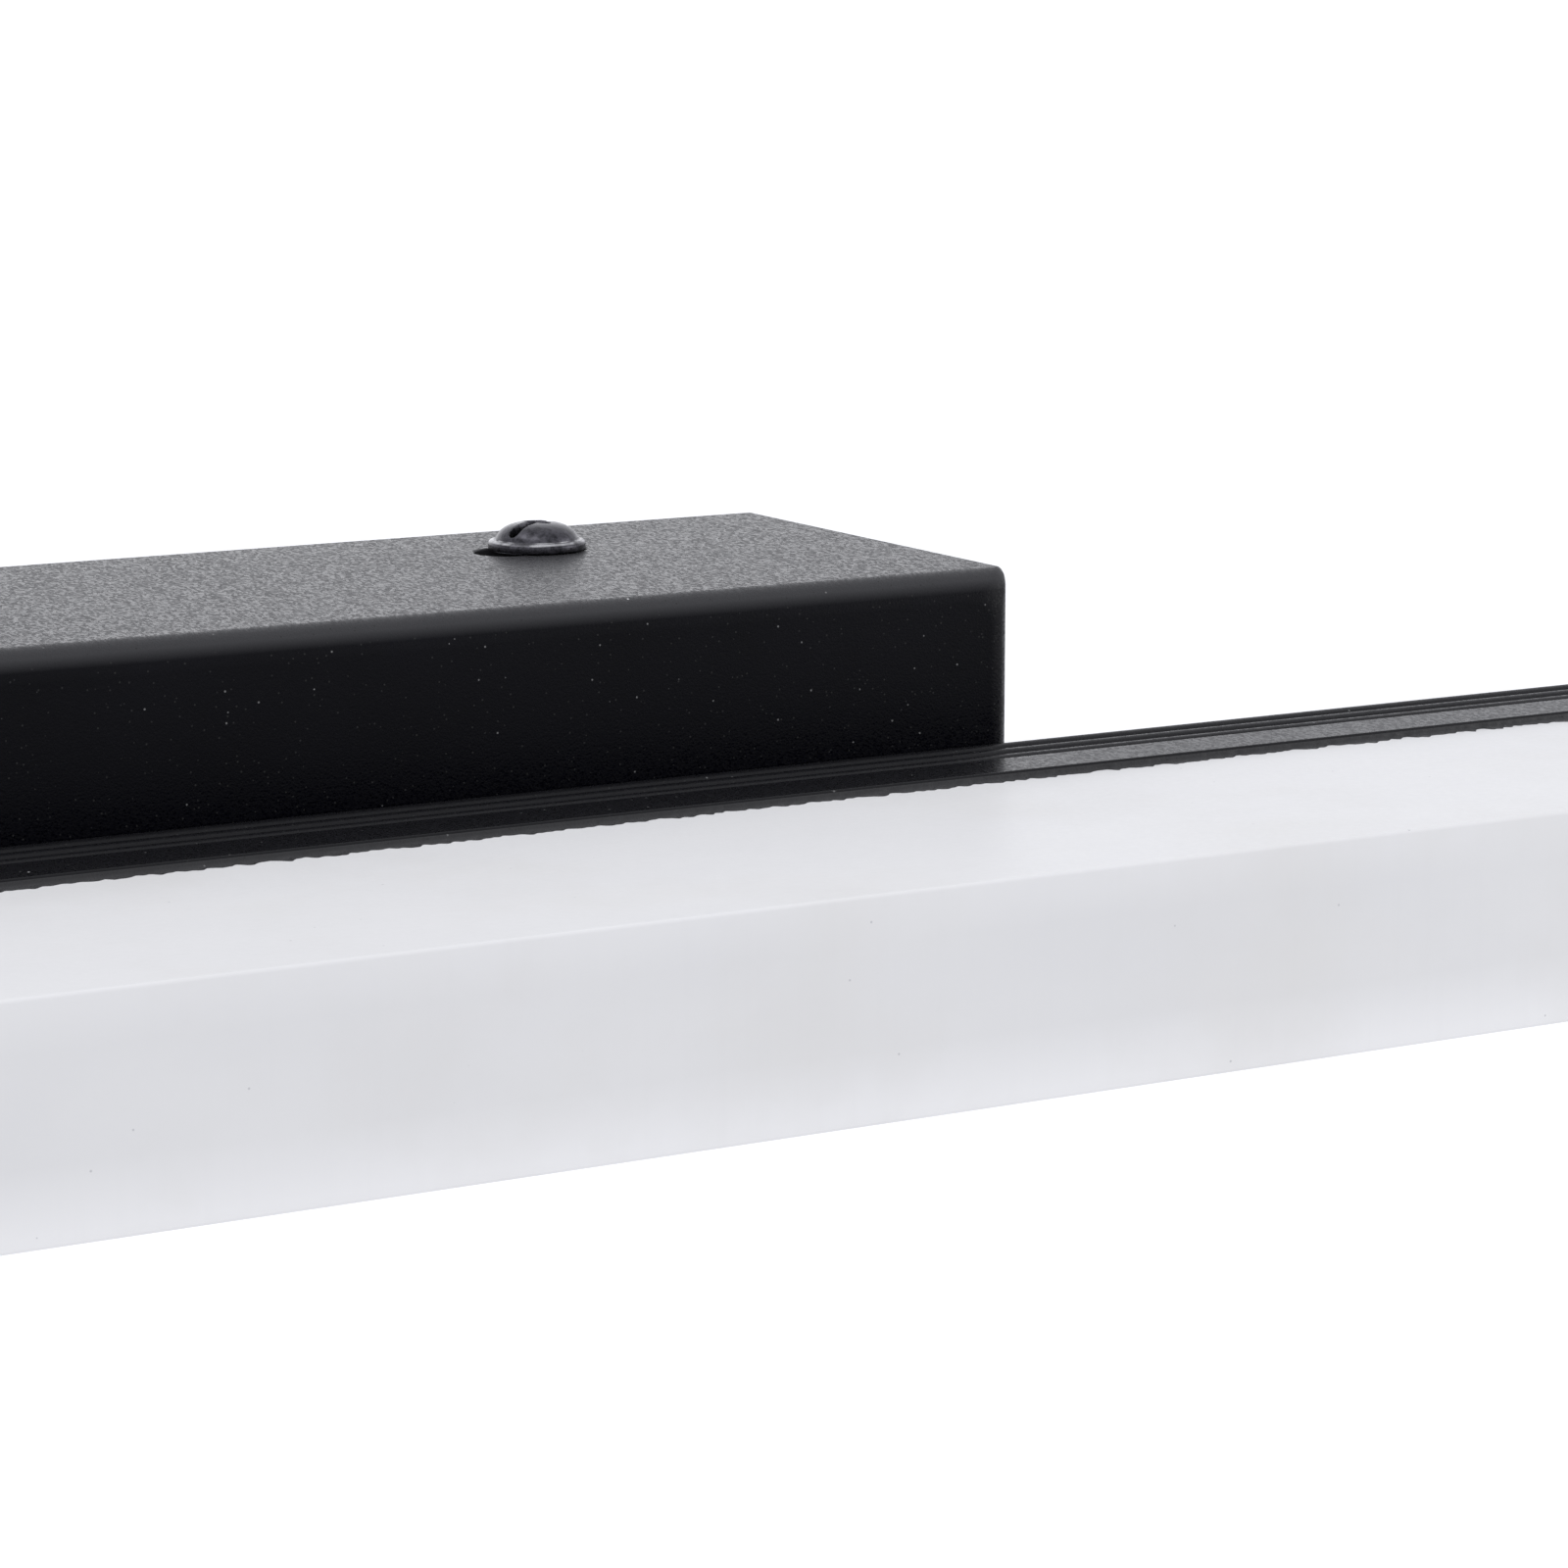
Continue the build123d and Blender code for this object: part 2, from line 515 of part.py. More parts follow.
def make_led_boards():
    length = BOARD_END - BOARD_START
    centre = (BOARD_END + BOARD_START) / 2
    with BuildPart() as thermal_tape:
        with BuildSketch(BAR_BACK.offset(BACK_WALL)):
            with Locations((-centre, 0), (centre, 0)):
                Rectangle(length, BOARD_WIDTH - 2 * TAPE_INSET)
            Circle(CHANNEL_WIRE_HOLE + TAPE_INSET, mode=Mode.SUBTRACT)
            with Locations(*[(side * x, 0) for side in (-1, 1) for x in BOARD_SCREW_X]):
                Circle(TAPE_HOLE, mode=Mode.SUBTRACT)
        extrude(amount=TAPE_THICKNESS)
    keep(thermal_tape, "thermal_tape")

    for name, side in (("left", -1), ("right", 1)):
        with BuildPart() as board:
            with BuildSketch(BAR_BACK.offset(BACK_WALL + TAPE_THICKNESS)):
                with Locations((side * centre, 0)):
                    Rectangle(length, BOARD_WIDTH)
                with Locations(*[(side * x, 0) for x in BOARD_SCREW_X]):
                    Circle(BOARD_HOLE, mode=Mode.SUBTRACT)
            extrude(amount=BOARD_THICKNESS)
        keep(board, f"led_board_{name}")

        row_centre = CHIP_FIRST + CHIP_PITCH * (CHIP_COUNT - 1) / 2
        with BuildPart() as chips:
            with BuildSketch(BAR_BACK.offset(BOARD_FRONT - CANOPY_DEPTH)):
                with Locations((side * row_centre, 0)):
                    with GridLocations(CHIP_PITCH, CHIP_PITCH, CHIP_COUNT, 1):
                        Rectangle(*CHIP_SIZE)
            extrude(amount=CHIP_THICKNESS)
        keep(chips, f"led_chips_{name}")

    screw_places = [(side * x, -BOARD_FRONT, BAR_CENTRE) for side in (-1, 1) for x in BOARD_SCREW_X]
    pan_screws("board_screws", screw_places, (0, -1, 0), *BOARD_SCREW)

    with BuildPart() as board_links:
        for z in (-LINK_HEIGHT, LINK_HEIGHT):
            with BuildSketch(Plane.YZ.offset(-BOARD_START - LINK_OVERLAP)):
                with Locations((-BOARD_FRONT - LINK_RADIUS, BAR_CENTRE + z)):
                    Circle(LINK_RADIUS)
            extrude(amount=2 * (BOARD_START + LINK_OVERLAP))
    keep(board_links, "board_links")


def make_bar_fixings():
    """The screws from the canopy into the channel, their washers, and the wire grommet."""
    inside = INNER_DEPTH - WASHER_THICKNESS
    places = [(x, -inside, BAR_CENTRE + z) for x, z in BAR_SCREW_PLACES]
    pan_screws("bar_screws", places, (0, 1, 0), *BAR_SCREW)
    with BuildPart() as washers:
        with BuildSketch(BAR_FIXING):
            with Locations(*BAR_SCREW_PLACES):
                Circle(WASHER_RADIUS)
                Circle(SCREW_SHANK + HOLE_CLEARANCE, mode=Mode.SUBTRACT)
        extrude(amount=-WASHER_THICKNESS)
    keep(washers, "bar_washers")

    with BuildPart() as wire_grommet:
        with BuildSketch(BAR_BACK):
            Circle(GROMMET_FLANGE)
        extrude(amount=GROMMET_OUTSIDE)
        with BuildSketch(BAR_FIXING):
            Circle(GROMMET_NECK)
        extrude(amount=CANOPY_SHEET)
        with BuildSketch(BAR_FIXING):
            Circle(GROMMET_FLANGE)
        extrude(amount=-GROMMET_INSIDE, taper=GROMMET_TAPER)
        with BuildSketch(BAR_FIXING.offset(-GROMMET_INSIDE)):
            Circle(GROMMET_BORE)
        extrude(amount=GROMMET_INSIDE + CANOPY_SHEET + GROMMET_OUTSIDE, mode=Mode.SUBTRACT)
    keep(wire_grommet, "wire_grommet")


def make_driver():
    """The LED driver: a two-part plastic case with its loaded circuit board."""
    width, height = DRIVER_SIZE
    cavity = (width - 2 * DRIVER_WALL, height - 2 * DRIVER_WALL)
    seam = INNER_DEPTH - DRIVER_BASE_DEPTH
    floor = INNER_DEPTH - DRIVER_WALL
    exits = [(DRIVER_X + width / 2, BAR_CENTRE + z) for z in (-LED_LEAD_HEIGHT, LED_LEAD_HEIGHT)]
    exits += [(DRIVER_X - width / 2, z) for z in (-SUPPLY_LEAD_HEIGHT, SUPPLY_LEAD_HEIGHT)]
    with BuildPart() as driver_base:
        with BuildSketch(CANOPY_INSIDE):
            with Locations((DRIVER_X, 0)):
                RectangleRounded(width, height, DRIVER_CORNER)
        extrude(amount=-DRIVER_BASE_DEPTH)
        with BuildSketch(CANOPY_INSIDE):
            with Locations((DRIVER_X, 0)):
                RectangleRounded(width + 2 * EAR_LENGTH, EAR_WIDTH, EAR_CORNER)
        extrude(amount=-EAR_THICKNESS)
        with BuildSketch(Plane.XZ.offset(floor)):
            with Locations((DRIVER_X, 0)):
                Rectangle(*cavity)
        extrude(amount=-DRIVER_BASE_DEPTH, mode=Mode.SUBTRACT)
        with BuildSketch(CANOPY_INSIDE):
            with Locations(*DRIVER_STUDS):
                Circle(STUD_RADIUS + HOLE_CLEARANCE)
        extrude(amount=-EAR_THICKNESS, mode=Mode.SUBTRACT)
        for x, z in exits:
            with BuildSketch(Plane.YZ.offset(x)):
                with Locations((-LEAD_DEPTH, z)):
                    Circle(LEAD_RADIUS + LEAD_CLEARANCE)
            extrude(amount=DRIVER_WALL * 2, both=True, mode=Mode.SUBTRACT)
    keep(driver_base, "driver_base")

    with BuildPart() as driver_cover:
        with BuildSketch(Plane.XZ.offset(seam)):
            with Locations((DRIVER_X, 0)):
                RectangleRounded(width, height, DRIVER_CORNER)
        extrude(amount=DRIVER_BASE_DEPTH - DRIVER_DEPTH)
        fillet(driver_cover.faces().sort_by(Axis.Y)[-1].edges(), DRIVER_EDGE)
        with BuildSketch(Plane.XZ.offset(seam)):
            with Locations((DRIVER_X, 0)):
                Rectangle(*cavity)
        extrude(amount=DRIVER_BASE_DEPTH - DRIVER_DEPTH + DRIVER_WALL, mode=Mode.SUBTRACT)
    keep(driver_cover, "driver_cover")

    board_back = floor - BOARD_FEET
    parts_back = board_back - BOARD_THICKNESS
    with BuildPart() as driver_board:
        with BuildSketch(Plane.XZ.offset(board_back)):
            with Locations((DRIVER_X, 0)):
                Rectangle(cavity[0] - BOARD_MARGIN, cavity[1] - BOARD_MARGIN)
        extrude(amount=-BOARD_THICKNESS)
        with BuildSketch(Plane.XZ.offset(floor)):
            with Locations((DRIVER_X, 0)):
                with GridLocations(cavity[0] - BOARD_FOOT_INSET, cavity[1] - BOARD_FOOT_INSET, 2, 2):
                    Circle(BOARD_FOOT_RADIUS)
        extrude(amount=-BOARD_FEET)
    keep(driver_board, "driver_board")

    layer_back = parts_back
    with BuildPart() as transformer:
        for layer_width, layer_height, thickness in TRANSFORMER_LAYERS:
            with BuildSketch(Plane.XZ.offset(layer_back)):
                with Locations(TRANSFORMER_PLACE):
                    Rectangle(layer_width, layer_height)
            extrude(amount=-thickness)
            layer_back -= thickness
    keep(transformer, "driver_transformer")

    with BuildPart() as capacitors:
        for x, z, radius, length in CAPACITORS:
            with BuildSketch(Plane.XZ.offset(parts_back)):
                with Locations((DRIVER_X + x, z)):
                    Circle(radius)
            extrude(amount=-length)
        fillet(capacitors.edges().filter_by(GeomType.CIRCLE).group_by(Axis.Y)[-1], CAPACITOR_EDGE)
    keep(capacitors, "driver_capacitors")

    with BuildPart() as choke:
        with BuildSketch(Plane.XZ.offset(parts_back)):
            with Locations(CHOKE_PLACE):
                Circle(CHOKE_RADIUS)
                Circle(CHOKE_BORE, mode=Mode.SUBTRACT)
        extrude(amount=-CHOKE_HEIGHT)
    keep(choke, "driver_choke")

    with BuildPart() as switch:
        with BuildSketch(Plane.XZ.offset(parts_back)):
            with Locations(SWITCH_PLACE):
                Rectangle(*SWITCH_SIZE)
        extrude(amount=-SWITCH_HEIGHT)
    keep(switch, "driver_switch")


def make_terminal_block():
    columns = (BLOCK_X - BLOCK_SCREW_X, BLOCK_X + BLOCK_SCREW_X)
    with BuildPart() as terminal_block:
        with BuildSketch(CANOPY_INSIDE):
            with Locations((BLOCK_X, 0)):
                RectangleRounded(*BLOCK_SIZE, BLOCK_CORNER)
        extrude(amount=-BLOCK_DEPTH)
        with BuildSketch(Plane.YZ.offset(BLOCK_X)):
            with Locations(*[(-BLOCK_ENTRY_DEPTH, z) for z in BLOCK_WAYS]):
                Circle(BLOCK_ENTRY_RADIUS)
        extrude(amount=BLOCK_SIZE[0], both=True, mode=Mode.SUBTRACT)
        with BuildSketch(CANOPY_INSIDE.offset(-BLOCK_DEPTH)):
            with Locations(*[(x, z) for x in columns for z in BLOCK_WAYS]):
                Circle(BLOCK_WELL_RADIUS)
        extrude(amount=BLOCK_DEPTH - (INNER_DEPTH - BLOCK_ENTRY_DEPTH), mode=Mode.SUBTRACT)
        with BuildSketch(CANOPY_INSIDE):
            with Locations(BLOCK_STUD):
                Circle(STUD_RADIUS + HOLE_CLEARANCE)
        extrude(amount=-BLOCK_DEPTH, mode=Mode.SUBTRACT)
    keep(terminal_block, "terminal_block")

    screw_depth = INNER_DEPTH - BLOCK_DEPTH + BLOCK_SCREW_SINK
    places = [(x, -screw_depth, z) for x in columns for z in BLOCK_WAYS]
    reach = BLOCK_ENTRY_DEPTH - LEAD_RADIUS - screw_depth
    shank, head, height, slot = TERMINAL_SCREW
    pan_screws("terminal_screws", places, (0, 1, 0), shank, reach, head, height, slot)


def make_nuts():
    ear_back = INNER_DEPTH - EAR_THICKNESS
    block_back = INNER_DEPTH - BLOCK_DEPTH
    places = [(x, z, ear_back) for x, z in DRIVER_STUDS]
    places.append((*BLOCK_STUD, block_back))
    hex_nuts("stud_nuts", places, STUD_RADIUS + NUT_CLEARANCE, *STUD_NUT)
    earth_place = (*EARTH_STUD, INNER_DEPTH - LUG_THICKNESS)
    hex_nuts("earth_nut", [earth_place], EARTH_STUD_RADIUS + NUT_CLEARANCE, *EARTH_NUT)


def make_leads():
    led_start = DRIVER_X + DRIVER_SIZE[0] / 2 - LEAD_TAIL
    pad_depth = BOARD_FRONT + LEAD_RADIUS
    pad_x, pad_height = LED_PAD
    for name, side in (("positive", 1), ("negative", -1)):
        near = BAR_CENTRE + side * LED_LEAD_HEIGHT
        points = [
            (led_start, -LEAD_DEPTH, near),
            (0, -LEAD_DEPTH, near),
            (0, -pad_depth - LEAD_RADIUS / 2, near),
            (pad_x, -pad_depth, BAR_CENTRE + side * pad_height),
        ]
        lead(f"led_lead_{name}", points, LEAD_RADIUS)

    supply_start = DRIVER_X - DRIVER_SIZE[0] / 2 + LEAD_TAIL
    entry = BLOCK_X + BLOCK_SIZE[0] / 2
    run_end, run_start = SUPPLY_RUN_ENDS
    for name, side in (("line", 1), ("neutral", -1)):
        points = [
            (supply_start, -LEAD_DEPTH, side * SUPPLY_LEAD_HEIGHT),
            (entry + run_end, -LEAD_DEPTH, side * SUPPLY_LEAD_HEIGHT),
            (entry + run_start, -BLOCK_ENTRY_DEPTH, side * BLOCK_WAYS[0]),
            (entry - LEAD_REACH, -BLOCK_ENTRY_DEPTH, side * BLOCK_WAYS[0]),
        ]
        lead(f"supply_lead_{name}", points, LEAD_RADIUS)

    stud_x, stud_z = EARTH_STUD
    lug_depth = INNER_DEPTH - LUG_BARREL
    points = [
        (entry - LEAD_REACH, -BLOCK_ENTRY_DEPTH, 0),
        (stud_x, -BLOCK_ENTRY_DEPTH, 0),
        (stud_x, -lug_depth, -LUG_TAIL[1]),
        (stud_x, -lug_depth, stud_z + LUG_TAIL[1]),
    ]
    lead("earth_lead", points, LEAD_RADIUS)

    with BuildPart() as earth_lug:
        with BuildSketch(CANOPY_INSIDE):
            with Locations((stud_x, stud_z)):
                Circle(LUG_RADIUS)
                Rectangle(*LUG_TAIL, align=(Align.CENTER, Align.MIN))
                Circle(EARTH_STUD_RADIUS + HOLE_CLEARANCE, mode=Mode.SUBTRACT)
        extrude(amount=-LUG_THICKNESS)
        with BuildSketch(Plane.XY.offset(stud_z + LUG_BARREL_START)):
            with Locations((stud_x, -lug_depth)):
                Circle(LUG_BARREL)
                Circle(LEAD_RADIUS, mode=Mode.SUBTRACT)
        extrude(amount=LUG_BARREL_LENGTH)
    keep(earth_lug, "earth_lug")


os.makedirs("parts", exist_ok=True)
make_wall_bracket()
make_canopy_screw("canopy_screw_top_left", -SCREW_X, 1, 55)
make_canopy_screw("canopy_screw_top_right", SCREW_X, 1, 23)
make_canopy_screw("canopy_screw_bottom_left", -SCREW_X, -1, 70)
make_canopy_screw("canopy_screw_bottom_right", SCREW_X, -1, 10)
make_canopy()
make_bar_channel()
make_end_caps()
make_diffuser()
make_led_boards()
make_bar_fixings()
make_driver()
make_terminal_block()
make_nuts()
make_leads()
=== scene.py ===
import bmesh
import bpy
import json
import math
from mathutils import Matrix, Vector, noise


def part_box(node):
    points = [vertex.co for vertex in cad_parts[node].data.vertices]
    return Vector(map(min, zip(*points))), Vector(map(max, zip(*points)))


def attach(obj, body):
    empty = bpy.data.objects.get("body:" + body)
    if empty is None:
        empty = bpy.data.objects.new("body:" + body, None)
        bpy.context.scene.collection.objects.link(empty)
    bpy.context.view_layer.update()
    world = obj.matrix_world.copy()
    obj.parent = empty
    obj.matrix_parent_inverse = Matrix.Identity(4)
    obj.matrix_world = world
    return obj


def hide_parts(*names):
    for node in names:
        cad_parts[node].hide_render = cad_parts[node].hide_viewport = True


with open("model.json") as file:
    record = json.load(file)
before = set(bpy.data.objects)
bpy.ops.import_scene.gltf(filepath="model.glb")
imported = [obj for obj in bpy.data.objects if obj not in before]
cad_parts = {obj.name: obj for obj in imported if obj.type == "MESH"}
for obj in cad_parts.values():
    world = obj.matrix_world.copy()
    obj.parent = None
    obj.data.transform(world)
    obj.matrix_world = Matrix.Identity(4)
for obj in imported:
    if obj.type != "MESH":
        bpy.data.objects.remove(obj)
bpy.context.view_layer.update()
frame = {"nodes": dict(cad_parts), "record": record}

MM = 0.001
UP = Vector((0, 0, 1))


# ---------------------------------------------------------------- sizes, from the frame

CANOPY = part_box("canopy")
CANOPY_WIDTH = CANOPY[1][0] - CANOPY[0][0]
CANOPY_HEIGHT = CANOPY[1][2] - CANOPY[0][2]
CANOPY_DEPTH = CANOPY[1][1] - CANOPY[0][1]
CANOPY_SHEET = 1.2 * MM
CANOPY_BEND = 2.75 * MM
CANOPY_CORNER = 0.5 * MM
CANOPY_RIM = 0.25 * MM        # rounding of the sheet's edge at the wall and round the slots
CORNER_STEPS = 4
BEND_STEPS = 12

SCREW_NODES = [name for name in frame["nodes"] if name.startswith("canopy_screw")]
SLOT_SHIFT = 0.65 * MM        # the slots' middles lie this much nearer to the canopy's middle than the screws
SLOT_LENGTH = 10.9 * MM
SLOT_WIDTH = 6.2 * MM
SLOT_STEPS = 16               # points on each half circle
WIRE_HOLE = 4.5 * MM
BAR_SCREW_HOLE = 2.25 * MM
BAR_SCREW_X = 138 * MM
BAR_SCREW_Z = 4.5 * MM
STUDS = (                     # x, z, radius and length of the studs welded inside the canopy's front
    (-96 * MM, 0.0, 1.5 * MM, 7 * MM), (-12 * MM, 0.0, 1.5 * MM, 7 * MM),
    (-118 * MM, 4 * MM, 1.5 * MM, 18 * MM), (-103 * MM, -17.5 * MM, 2 * MM, 9 * MM),
)
STUD_PITCH = 0.5 * MM
STUD_STEPS = 16
STUD_ROOT = 0.86              # the rest are shares of a stud's radius
STUD_WELD = 1.45
STUD_WELD_HEIGHT = 0.35
STUD_WELD_NECK = 1.1
STUD_THREAD_START = 0.5
STUD_CHAMFER = 0.3

SCREW_LENGTH = 10.0 * MM
THREAD_CREST = 1.98 * MM
THREAD_ROOT = 1.62 * MM
THREAD_PITCH = 0.7 * MM
THREAD_ROWS = 8               # rings in each turn of the thread
THREAD_FLANK = 2.3            # steepness of the thread's sides
THREAD_NECK = 0.5 * MM        # plain length under the flange
TIP_TAPER = 0.75              # the tip's share of the root radius
TIP_ROWS = 10
SCREW_STEPS = 64
POLE_RADIUS = 0.1 * MM        # no ring is smaller, so the tip and the dome end in a small flat
FLANGE_RADIUS = 4.5 * MM
FLANGE_HEIGHT = 1.0 * MM
FLANGE_GAP = 0.03 * MM        # the flange's outer edge stands this far off the canopy's face
FLANGE_EDGE = 0.3 * MM        # rounding of the flange's lower edge
FLANGE_RIM = 0.42 * MM        # rounding of its upper edge
GROOVE_WIDTH = 0.12 * MM      # the groove between the flange and the dome
GROOVE_DEPTH = 0.09 * MM
DOME_RADIUS = 3.8 * MM
DOME_HEIGHT = 1.6 * MM
DOME_STEPS = 18
RECESS_EDGE = 0.07 * MM       # bevel of the recess's sharp edges
RECESS_CUTS = (               # length, width, depth and heading of the drive slot and of its short cross
    (7.25 * MM, 1.15 * MM, 1.58 * MM, 0), (3.0 * MM, 1.05 * MM, 1.9 * MM, 90),
)
RECESS_TURNS = {
    "canopy_screw_top_left": 55, "canopy_screw_top_right": 23,
    "canopy_screw_bottom_left": 70, "canopy_screw_bottom_right": 10,
}

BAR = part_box("bar_channel")
BAR_CENTRE = (BAR[0][2] + BAR[1][2]) / 2
LIP = 0.7 * MM
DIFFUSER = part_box("diffuser")
BEAD_STEP = 0.2 * MM
BEAD_END = 0.3 * MM           # the bead stops this far from the channel's ends
BEAD_MIN = 0.15 * MM

DUST = ((0.75, 0.1, 0.018), (1.9, 0.11, 0.12), (5.0, 0.13, 0.5))   # spacing and radius in mm, brightness
GRAIN_SIZE = 0.21 * MM

CAMERA_FROM_CORNER = (-228.57 * MM, -349.8 * MM, 57.67 * MM)   # from the canopy's front top right corner
CAMERA_LENS = 108.1
CAMERA_PITCH = 10.479         # degrees below the horizon
CAMERA_HEADING = -30.297      # degrees from the wall's normal
FLOOR_SIZE = 40
FLOOR_DROP = 0.7
SURROUND_COLOUR = (0.945, 0.952, 1, 1)
SURROUND_STRENGTH = 1.19
SOFTBOXES = (                 # name, place, size and power
    ("overhead", (-0.35, -0.15, 1.0), (1.4, 0.5), 3.7),
    ("sweep", (-0.4, 2.5, 0.45), (5.0, 0.8), 5.2),
    ("side", (0.85, -0.45, 0.15), (0.5, 0.5), 1.5),
)


# ---------------------------------------------------------------- material helpers

class Shader:
    """A node material that is put together a step at a time."""

    def __init__(self, name):
        self.material = bpy.data.materials.new(name)
        self.material.use_nodes = True
        self.nodes = self.material.node_tree.nodes
        self.links = self.material.node_tree.links
        self.bsdf = self.nodes["Principled BSDF"]
        self.coords = self.nodes.new("ShaderNodeTexCoord").outputs["Object"]

    def set(self, **values):
        for socket, value in values.items():
            self.bsdf.inputs[socket.replace("_", " ")].default_value = value

    def link(self, output, socket):
        self.links.new(output, self.bsdf.inputs[socket])

    def node(self, kind, inputs=(), **settings):
        made = self.nodes.new(kind)
        for key, value in settings.items():
            setattr(made, key, value)
        for socket, value in inputs:
            if hasattr(value, "is_output"):
                self.links.new(value, made.inputs[socket])
            else:
                made.inputs[socket].default_value = value
        return made

    def stretched(self, scale):
        """Object coordinates, scaled along each axis."""
        return self.node("ShaderNodeMapping", [("Vector", self.coords), ("Scale", scale)]).outputs[0]

    def noise(self, size, detail=2.0, roughness=0.5, stretch=(1, 1, 1)):
        """Noise whose features are about size metres across."""
        inputs = [
            ("Vector", self.stretched(stretch)), ("Scale", 1 / size), ("Detail", detail),
            ("Roughness", roughness),
        ]
        return self.node("ShaderNodeTexNoise", inputs).outputs["Fac"]

    def specks(self, spacing, radius, stretch=(1, 1, 1)):
        """1 inside small scattered dots, 0 elsewhere."""
        inputs = [("Vector", self.stretched(stretch)), ("Scale", 1 / spacing)]
        distance = self.node("ShaderNodeTexVoronoi", inputs).outputs["Distance"]
        return self.mapped(distance, 0.6 * radius / spacing, radius / spacing, 1.0, 0.0)

    def cells(self, size, stretch):
        """Small grains: the distance from each grain's middle, and a random value for each grain."""
        inputs = [("Vector", self.stretched(stretch)), ("Scale", 1 / size)]
        voronoi = self.node("ShaderNodeTexVoronoi", inputs)
        return voronoi.outputs["Distance"], voronoi.outputs["Color"]

    def ramp(self, value, low, high, dark, light):
        """Blend from dark to light as value goes from low to high."""
        ramp = self.node("ShaderNodeValToRGB", [("Fac", value)])
        ramp.color_ramp.elements[0].position = low
        ramp.color_ramp.elements[0].color = dark
        ramp.color_ramp.elements[1].position = high
        ramp.color_ramp.elements[1].color = light
        return ramp.outputs["Color"]

    def mix(self, factor, first, second):
        """Blend two colours."""
        made = self.nodes.new("ShaderNodeMix")
        made.data_type = "RGBA"
        for socket, value in zip((made.inputs[0], made.inputs[6], made.inputs[7]), (factor, first, second)):
            if hasattr(value, "is_output"):
                self.links.new(value, socket)
            else:
                socket.default_value = value
        return made.outputs[2]

    def height(self, low, high, new_low, new_high, mirrored=False):
        """A value that changes with the height over the bracket's middle, or with the distance from it."""
        split = self.node("ShaderNodeSeparateXYZ", [("Vector", self.coords)])
        height = split.outputs["Z"]
        if mirrored:
            height = self.maths("ABSOLUTE", height, 0.0)
        return self.mapped(height, low, high, new_low, new_high)

    def maths(self, operation, first, second):
        return self.node("ShaderNodeMath", [(0, first), (1, second)], operation=operation).outputs[0]

    def mapped(self, value, low, high, new_low, new_high):
        inputs = [(0, value), (1, low), (2, high), (3, new_low), (4, new_high)]
        return self.node("ShaderNodeMapRange", inputs).outputs[0]

    def bump(self, height, distance, strength=1.0, under=None):
        inputs = [("Height", height), ("Distance", distance), ("Strength", strength)]
        if under is not None:
            inputs.append(("Normal", under))
        return self.node("ShaderNodeBump", inputs).outputs["Normal"]


def grey(value, blue=0.0):
    return (value, value, value + blue, 1)


def black_coat(name, grain_depth, rough, spread, ior, painted_lift):
    """Fine-textured black powder coat with dust of three sizes on it; a lighter band over the bends is a
    painted highlight, the front darkening towards the light bar is painted shade, and the amount added to the
    whole colour is painted light.
    """
    shader = Shader(name)
    shader.set(IOR=ior)
    mottle = shader.noise(9 * MM, 3.0)
    lit = shader.ramp(mottle, 0.3, 0.7, grey(painted_lift + 0.0008, 0.001), grey(painted_lift + 0.0016, 0.0014))
    # painted shade: the coat's colour darkens from below the top bend down to the light bar's top and stays
    # darkest below it
    painted_shade_towards_bar = shader.height(BAR[1][2], CANOPY[1][2] - CANOPY_BEND, 1.0, 0.0)
    coat = shader.mix(painted_shade_towards_bar, lit, grey(painted_lift, 0.0012))
    # painted highlight: a lighter band painted along the top and bottom bends
    bend = shader.height(CANOPY[1][2] - 0.66 * CANOPY_BEND, CANOPY[1][2] - 0.3 * CANOPY_BEND, 0.0, 1.0, True)
    coat = shader.mix(bend, coat, grey(painted_lift + 0.03, 0.002))
    for spacing, radius, brightness in DUST:
        dust = shader.specks(spacing * MM, radius * MM)
        coat = shader.mix(dust, coat, grey(brightness))
    shader.link(coat, "Base Color")
    hollows, grain = shader.cells(GRAIN_SIZE, (1, 0.5, 1))
    shader.link(shader.bump(shader.maths("ADD", hollows, grain), grain_depth), "Normal")
    shader.link(shader.mapped(grain, 0.3, 0.7, rough - spread, rough + spread), "Roughness")
    return shader.material


